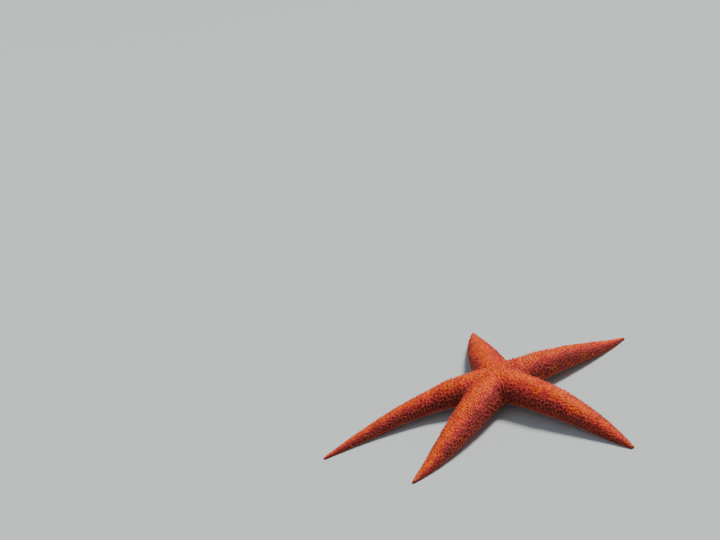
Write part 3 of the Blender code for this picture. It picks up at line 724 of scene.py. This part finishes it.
# The tube feet: two rows of soft hollow stalks that hang from each furrow and end in flat suckers. Where the
# sole comes down to the floor they stand on it, and elsewhere they hang a little bent, each its own way.
FOOT_START = 9.0 * MM
FOOT_END = 3.0 * MM  # short of the tip
FOOT_STEP = 0.62  # mm, on an arm of no width
FOOT_STEP_GROWTH = 1.05  # and how much longer it is on the widest part
FOOT_ROW = 0.5  # of the furrow's half width, where each row stands
FOOT_HANG = 2.2 * MM  # below the sole
FOOT_LENGTHS = (0.6, 1.0)  # shares of the hang
FOOT_TOP = 0.2 * MM  # below the furrow's roof, where it comes out of the flesh
FOOT_ROOT = 0.5 * MM  # of it inside the flesh
FOOT_SWING = 0.09
FOOT_SPLAY = (-0.22, 0.12)
FOOT_BENDS = (0.0, 0.2, 0.4, 0.6)
FLOOR_GAP = 0.03 * MM
FLOOR_REACH = 0.6 * MM  # a foot that would end lower than this stands on the floor
SUCKER_RADIUS = 0.80 * MM
SUCKER_SIZES = (0.9, 1.1)
SUCKER_LIMIT = 0.42  # of the furrow's half width
FOOT_SIDES = 8
STALK = ((0, 0), (0.52, 0), (0.46, 0.25), (0.42, 0.70))
SUCKER = ((0.52, 0.86), (0.96, 0.94), (1.0, 0.975), (0.88, 1.0), (0.30, 0.985), (0, 0.94))
# Colours from the root to the sucker, by share of the length
FOOT_COLOURS = ((0.0, (0.50, 0.05, 0.018)), (0.6, (0.76, 0.14, 0.035)), (0.92, (0.88, 0.27, 0.09)))
FOOT_BLOTCH = (0.5, 0.08, 0.03)
FOOT_TINT_SHARE = 0.08
FOOT_BLOTCH_GRAIN = 900


def foot_step(arm, s):
    """Distance between one tube foot and the next on the same side."""
    return MM * (FOOT_STEP + FOOT_STEP_GROWTH * arm.half_width(s) / ARM_HALF_WIDTH)


def foot_cast(bend):
    """A tube foot one unit long and with a sucker one unit wide, that leans aside on its way."""
    bm = turned_shape(STALK + SUCKER, FOOT_SIDES)
    for vert in bm.verts:
        way = vert.co.z / MM
        vert.co.x += bend * MM * way**2 * (1.6 - 0.6 * way)
    return cast(bm)


def sole_patch(arm, s, column):
    """The place on the unwrap of a root on the underside, by the rows of the sheet there."""
    stations = (0, MOUTH_REACH, arm.crotch(1)[0], DISC_REACH, arm.length)
    rows = np.cumsum((0, MOUTH_ROWS, SOLE_ROWS, NECK_ROWS, ARM_ROWS))
    return np.array(unwrapped(arm, 0, column, np.interp(s, stations, rows) / (rows[-1] + CAP_ROWS)))


foot_casts = [foot_cast(bend) for bend in FOOT_BENDS]
bed = Bed()
for arm in arms:
    for side in (1, -1):
        s = FOOT_START + (0 if side > 0 else foot_step(arm, FOOT_START) / 2)
        while s < arm.length - FOOT_END:
            lip = float(arm.lip(s, side))
            sucker = min(SUCKER_RADIUS, SUCKER_LIMIT * lip) * draw.uniform(*SUCKER_SIZES)
            depth = float(arm.furrow_depth(s))
            root = arm.place(s, side * FOOT_ROW * lip, depth - FOOT_TOP)
            _, ahead, aside, _ = arm.frame(s)
            length = depth + FOOT_HANG * draw.uniform(*FOOT_LENGTHS)
            out = np.array((0.0, 0.0, -1.0))
            kind = foot_casts[0]
            if length < root[2] - FLOOR_REACH:
                out = out + ahead * draw.normal(0, FOOT_SWING) + aside * side * draw.uniform(*FOOT_SPLAY)
                kind = foot_casts[draw.integers(0, len(foot_casts))]
            else:
                length = root[2] - FLOOR_GAP
            start = root + np.array((0, 0, FOOT_ROOT))
            patch = sole_patch(arm, s, side * ROOF_COLUMN)
            bed.plant(kind, start, out, sucker / MM, (length + FOOT_ROOT) / MM, patch, 0.0)
            s += float(foot_step(arm, s))
foot_skin = Finish(
    "tube_foot_skin", Roughness=0.34, Specular_IOR_Level=0.5, Subsurface_Weight=0.3,
    Subsurface_Scale=1.2 * MM, Subsurface_Radius=(1.0, 0.4, 0.2))
rise = foot_skin.sum(foot_skin.own("tint"), FOOT_TINT_SHARE, foot_skin.own("rise"))
colour = foot_skin.ramp(rise, *FOOT_COLOURS)
blotch = foot_skin.ramp(foot_skin.grain(FOOT_BLOTCH_GRAIN), (0.3, 0.7), (0.6, 1.0))
foot_skin.paint(foot_skin.mix(blotch, FOOT_BLOTCH, colour))
shown(bed.mesh("star_tube_feet"), foot_skin)

# The spines beside the furrows: three rows of blunt rods of chalk in sheaths of skin along each lip. The
# inner ones lie across the furrow to guard the feet, and the outer ones stand out from the sole. A fan of
# them on each of the ten jaws closes in over the mouth.
FURROW_SPINE = ((0, -0.5), (0.34, -0.4), (0.35, 0.7), (0.29, 1.35), (0.15, 1.72), (0, 1.78))
FURROW_SPINE_SIDES = 6
SPINE_LENGTH = FURROW_SPINE[-1][1] * MM
SPINE_RADIUS = FURROW_SPINE[2][0] * MM
SPINE_START = 9.3 * MM
SPINE_END = 1.6 * MM  # short of the tip
SPINE_STEP = 1.3 * MM
SPINE_SMALLEST = 0.38
SPINE_SHORTEST = 0.3  # as a share of its width; one that has less room is left out
SPINE_LENGTHS = (0.9, 1.08)
SPINE_INSET = 0.8  # mm, in from the margin
SPINE_SPLAY = 0.06
SPINE_SWING = 0.07
SPINE_DIP = 0.05  # the least slope down that the room under a spine is reckoned with
SPINE_LEVEL = 0.1
COLUMN_PER_MM = 0.09  # on the unwrap
# How far out of the lip in mm, lean to the side, width, height and start of each row
SPINE_ROWS = ((0.12, -0.60, 0.85, 1.25, 0.0), (0.80, 0.15, 1.1, 1.05, 0.5), (1.75, 0.60, 1.0, 0.75, 0.0))
# Colours from the root to the end, by share of the length
SPINE_COLOURS = ((0.0, (0.56, 0.07, 0.02)), (0.55, (0.80, 0.17, 0.045)), (0.95, (0.91, 0.36, 0.14)))
# The innermost and the outermost spine of a fan: place out and aside of the jaw in mm, lean aside, out and
# up, width, height
JAW_FAN = 5
JAW_INNERMOST = np.array((-1.3, 0.0, 0.0, -0.95, -0.6, 1.15, 1.55))
JAW_OUTERMOST = np.array((1.1, 0.45, 0.35, -0.60, -0.9, 1.00, 1.05))
JAW_COLUMN = 0.9
furrow_spine = cast(turned_shape(FURROW_SPINE, FURROW_SPINE_SIDES))
bed = Bed()


def plant_spine(root, out, width, height, patch):
    """Sets a furrow spine, made shorter where the floor is too near for its whole length."""
    out = out / np.linalg.norm(out)
    room = (root[2] - SPINE_RADIUS * width) / max(-out[2], SPINE_DIP)
    height = min(height, room / SPINE_LENGTH)
    if height > SPINE_SHORTEST * width:
        bed.plant(furrow_spine, root, out, width, height, patch, SPINE_LEVEL)


for arm in arms:
    for side in (1, -1):
        for beside, lean, width, height, start in SPINE_ROWS:
            s = SPINE_START + start * SPINE_STEP
            while s < arm.length - SPINE_END:
                size = SPINE_SMALLEST + (1 - SPINE_SMALLEST) * float(arm.half_width(s)) / ARM_HALF_WIDTH
                offset = float(arm.lip(s, side)) + beside * size * MM
                if offset < float(arm.edge(s, side)) - SPINE_INSET * size * MM:
                    _, ahead, aside, up = arm.frame(s)
                    out = aside * side * (lean + draw.normal(0, SPINE_SPLAY)) - up
                    out = out + ahead * draw.normal(0, SPINE_SWING)
                    tall = size * height * draw.uniform(*SPINE_LENGTHS)
                    patch = sole_patch(arm, s, side * (LIP_COLUMN + COLUMN_PER_MM * beside))
                    plant_spine(arm.place(s, side * offset, 0.0), out, size * width, tall, patch)
                s += SPINE_STEP * size
for arm, jaw, away, beside in jaws:
    for k in range(JAW_FAN):
        spine = JAW_INNERMOST + (JAW_OUTERMOST - JAW_INNERMOST) * k / (JAW_FAN - 1)
        outward, sideward, lean_aside, lean_out, lean_up, width, height = spine
        root = jaw + (away * outward + beside * sideward) * MM
        out = beside * lean_aside + away * lean_out + np.array((0, 0, lean_up))
        patch = sole_patch(arm, MOUTH_REACH + k * SPINE_STEP, JAW_COLUMN)
        plant_spine(root, out, width, height, patch)
rod = Finish(
    "furrow_spine_sheath", Roughness=0.5, Specular_IOR_Level=0.35, Subsurface_Weight=0.12,
    Subsurface_Scale=1.0 * MM, Subsurface_Radius=(1.0, 0.4, 0.2))
rod.paint(rod.ramp(rod.sum(rod.own("tint"), TINT_SHARE, rod.own("rise")), *SPINE_COLOURS))
shown(bed.mesh("star_furrow_spines"), rod)

# The mouth: a soft ring of skin, drawn tight like a purse inside the five pairs of jaws, with a small dark
# opening in its middle, painted as shade on the closed skin. Its folds run in from the rim, and it bends up
# to the furrows between the jaws.
MOUTH_RADIUS = 5.3  # mm
MOUTH_LEVEL = SOLE_HEIGHT + 3.2 * MM
MOUTH_PROFILE = (
    (0, 2.2), (0.5, 2.1), (0.9, 1.2), (1.25, 0.25), (1.7, -0.2), (2.4, -0.3), (3.2, -0.12), (4.0, 0.15),
    (4.8, 0.5), (MOUTH_RADIUS, 0.8), (MOUTH_RADIUS, 1.5), (3.0, 2.6), (0, 3.0))
MOUTH_BACK = 1.4 * MM  # the height in the profile from which it is the hidden side
MOUTH_SIDES = 150
MOUTH_OPENING_SHADE_REACH = (0.16, 0.26)  # shares of the radius between which the painted shade of the opening ends
FOLDS = 25
FOLD_STRAY = 2.0
FOLD_DEPTH = 0.22 * MM
FOLD_PLACE = 0.45  # shares of the radius: where the folds are deepest, and how far they spread
FOLD_SPREAD = 0.28
FOLD_SHADE = 0.55
FURROW_BEND = 2.4 * MM
BEND_SPREAD = 0.30
# Colours from the painted shade of the opening and the folds' bottoms to their crests
MOUTH_COLOURS = ((0.0, (0.10, 0.008, 0.008)), (0.5, (0.55, 0.08, 0.03)), (1.0, (0.84, 0.26, 0.09)))
bm = turned_shape(MOUTH_PROFILE, MOUTH_SIDES)
mouth_shade_layer = bm.verts.layers.float.new("fold")
for vert in bm.verts:
    x, y, z = vert.co
    reach = math.hypot(x, y) / MM / MOUTH_RADIUS
    angle = math.atan2(y, x)
    fold = 0.5 + 0.5 * math.cos(FOLDS * angle + FOLD_STRAY * math.sin(3 * angle))
    # Painted shade: dark at the closed middle for the opening, and darker in the folds
    vert[mouth_shade_layer] = ease(reach, *MOUTH_OPENING_SHADE_REACH) * (1 - FOLD_SHADE * fold)
    if z < MOUTH_BACK:
        z -= FOLD_DEPTH * fold * bell(reach - FOLD_PLACE, FOLD_SPREAD)
    turns = [(angle - math.radians(arm.heading) + math.pi) % (2 * math.pi) - math.pi for arm in arms]
    z += FURROW_BEND * bell(min(abs(turn) for turn in turns), BEND_SPREAD) * reach**3
    vert.co = (MOUTH_X + x, MOUTH_Y + y, MOUTH_LEVEL + z)
mouth_mesh = bpy.data.meshes.new("star_mouth")
bm.to_mesh(mouth_mesh)
bm.free()
mouth_mesh.shade_smooth()
membrane = Finish(
    "mouth_membrane", Roughness=0.38, Specular_IOR_Level=0.45, Subsurface_Weight=0.2,
    Subsurface_Scale=1.2 * MM, Subsurface_Radius=(1.0, 0.4, 0.2))
membrane.paint(membrane.ramp(membrane.own("fold"), *MOUTH_COLOURS))
shown(mouth_mesh, membrane)

# The sieve plate, or madreporite: a small round plate of chalk, cut by fine winding grooves that branch out
# to its rim. It lets water into the star's pipes, and is let into a round seat in the skin of the disc.
SIEVE_SIDES = 144
SIEVE_RINGS = 22
SIEVE_SINK = 0.9 * MM  # of its middle below the skin
SIEVE_THICKNESS = 1.6 * MM
SIEVE_DOME = 0.6 * MM
SIEVE_SHOULDER = 2.6  # how late the dome falls off to its rim
GROOVE_DEPTH = 0.11 * MM
GROOVE_BANK = 0.45  # how soft the sides of a groove are
GROOVE_START = 0.6 * MM  # radius over which the grooves begin
GROOVE_FLOOR = 0.3 * MM  # from the plate's foot up, no grooves
SIEVE_CENTRE = 0.05 * MM
INNER_GROOVES = 9
OUTER_GROOVES = 19
OUTER_TURN = 1.2
BRANCHING = (0.9 * MM, 1.4 * MM)  # radii between which the inner grooves become the outer ones
WINDING = 0.5
WINDING_CORE = 0.4  # mm, within which the grooves wind less
WINDING_SCALE = 1300
PLATE_GRAIN = 900
PLATE_COLOURS = ((0.35, (0.66, 0.22, 0.09)), (0.65, (0.86, 0.42, 0.22)))
GROOVE_SHADE_COLOUR = (0.36, 0.08, 0.04)
sieve_foot = -SIEVE_SINK - SIEVE_THICKNESS / 2
sieve_top = sieve_foot + SIEVE_THICKNESS
profile = [(0, sieve_foot), (SIEVE_RADIUS, sieve_foot)]
for k in range(SIEVE_RINGS + 1):
    reach = math.cos(k / SIEVE_RINGS * math.pi / 2)
    profile.append((SIEVE_RADIUS * reach, sieve_top - SIEVE_DOME * reach**SIEVE_SHOULDER))
bm = turned_shape([(radius / MM, height / MM) for radius, height in profile], SIEVE_SIDES)
groove_layer = bm.verts.layers.float.new("groove")
for vert in bm.verts:
    x, y, z = vert.co
    radius = math.hypot(x, y)
    if z > sieve_foot + GROOVE_FLOOR and radius > SIEVE_CENTRE:
        winding = WINDING * noise.noise(vert.co * WINDING_SCALE) / (radius / MM + WINDING_CORE)
        angle = math.atan2(y, x) + winding
        outer = ease(radius, *BRANCHING)
        wave = (1 - outer) * math.cos(INNER_GROOVES * angle)
        wave += outer * math.cos(OUTER_GROOVES * angle + OUTER_TURN)
        vert[groove_layer] = ease(wave, GROOVE_BANK, -GROOVE_BANK) * ease(radius, 0, GROOVE_START)
        z -= GROOVE_DEPTH * vert[groove_layer]
    vert.co = sieve_point + sieve_run * x - sieve_side * y + sieve_out * z
bmesh.ops.recalc_face_normals(bm, faces=bm.faces)
sieve_mesh = bpy.data.meshes.new("sieve_plate")
bm.to_mesh(sieve_mesh)
bm.free()
sieve_mesh.shade_smooth()
chalk = Finish("sieve_chalk", Roughness=0.7, Specular_IOR_Level=0.3)
colour = chalk.ramp(chalk.grain(PLATE_GRAIN), *PLATE_COLOURS)
# Painted shade: the plate is darker in its grooves
chalk.paint(chalk.mix(chalk.own("groove"), colour, GROOVE_SHADE_COLOUR))
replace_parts(shown(sieve_mesh, chalk), "madreporite")

# The studio floor: one pale round sheet, level under the star, that rises on all sides in a long, shallow
# sweep, so that no edge of it shows and its tone stays even.
SWEEP_START = 2.5
SWEEP_LENGTH = 9.5
SWEEP_RISE = 2.4
SWEEP_STEPS = 24
FLOOR_SIDES = 128
FLOOR_COLOUR = (0.53, 0.565, 0.58)
profile = [(0, 0)]
for k in range(SWEEP_STEPS + 1):
    way = k / SWEEP_STEPS
    profile.append(((SWEEP_START + SWEEP_LENGTH * way) / MM, SWEEP_RISE * way**2 / MM))
bm = turned_shape(profile, FLOOR_SIDES)
bmesh.ops.reverse_faces(bm, faces=[face for face in bm.faces if face.normal.z < 0])
floor_mesh = bpy.data.meshes.new("studio_floor")
bm.to_mesh(floor_mesh)
bm.free()
floor_mesh.shade_smooth()
paper = Finish("pale_paper", Base_Color=FLOOR_COLOUR, Roughness=0.9, Specular_IOR_Level=0.1)
floor_mesh.materials.append(paper.material)
floor = bpy.data.objects.new("studio_floor", floor_mesh)
bpy.context.scene.collection.objects.link(floor)

# Soft studio light: a wide, warm lamp high up behind and to the right, as the light falls in the picture,
# with a weak one in front and a pale, cool room that keep the shadows open.
ROOM_COLOUR = (0.72, 0.88, 1.0)
ROOM_STRENGTH = 0.30
room = bpy.data.worlds.new("studio_room")
room.use_nodes = True
room.node_tree.nodes["Background"].inputs["Color"].default_value = (*ROOM_COLOUR, 1)
room.node_tree.nodes["Background"].inputs["Strength"].default_value = ROOM_STRENGTH
bpy.context.scene.world = room


def lamp(name, toward, strength, spread, colour):
    light = bpy.data.lights.new(name, "SUN")
    light.energy = strength
    light.angle = math.radians(spread)
    light.color = colour
    holder = bpy.data.objects.new(name, light)
    holder.rotation_euler = Vector(toward).to_track_quat("-Z", "Y").to_euler()
    bpy.context.scene.collection.objects.link(holder)


lamp("key_lamp", toward=(-0.60, -0.45, -1.0), strength=4.7, spread=16, colour=(1.0, 0.96, 0.90))
lamp("fill_lamp", toward=(0.3, 0.8, -0.7), strength=0.20, spread=60, colour=(0.85, 0.93, 1.0))

# The camera, where the picture's own stood: low and in front of the star, and rolled to one side, so that
# the star leans on the level floor as it does in the picture.
CAMERA_BACK = 647.6 * MM
CAMERA_HEIGHT = 334.2 * MM
CAMERA_YAW = 6.73
CAMERA_PITCH = 18.40
CAMERA_ROLL = -14.31
camera = bpy.data.objects.new("camera", bpy.data.cameras.new("camera"))
camera.data.sensor_width = 36
camera.data.lens = 50
camera.data.clip_start = 0.01
yaw, pitch, roll = (math.radians(angle) for angle in (CAMERA_YAW, CAMERA_PITCH, CAMERA_ROLL))
ahead = Vector((-math.sin(yaw) * math.cos(pitch), math.cos(yaw) * math.cos(pitch), -math.sin(pitch)))
level_right = Vector((math.cos(yaw), math.sin(yaw), 0))
upright = level_right.cross(ahead)
tilted_right = level_right * math.cos(roll) + upright * math.sin(roll)
tilted_up = upright * math.cos(roll) - level_right * math.sin(roll)
turned = Matrix((tilted_right, tilted_up, -ahead)).transposed().to_4x4()
camera.matrix_world = Matrix.Translation((MOUTH_X, MOUTH_Y - CAMERA_BACK, CAMERA_HEIGHT)) @ turned
bpy.context.scene.collection.objects.link(camera)
bpy.context.scene.camera = camera
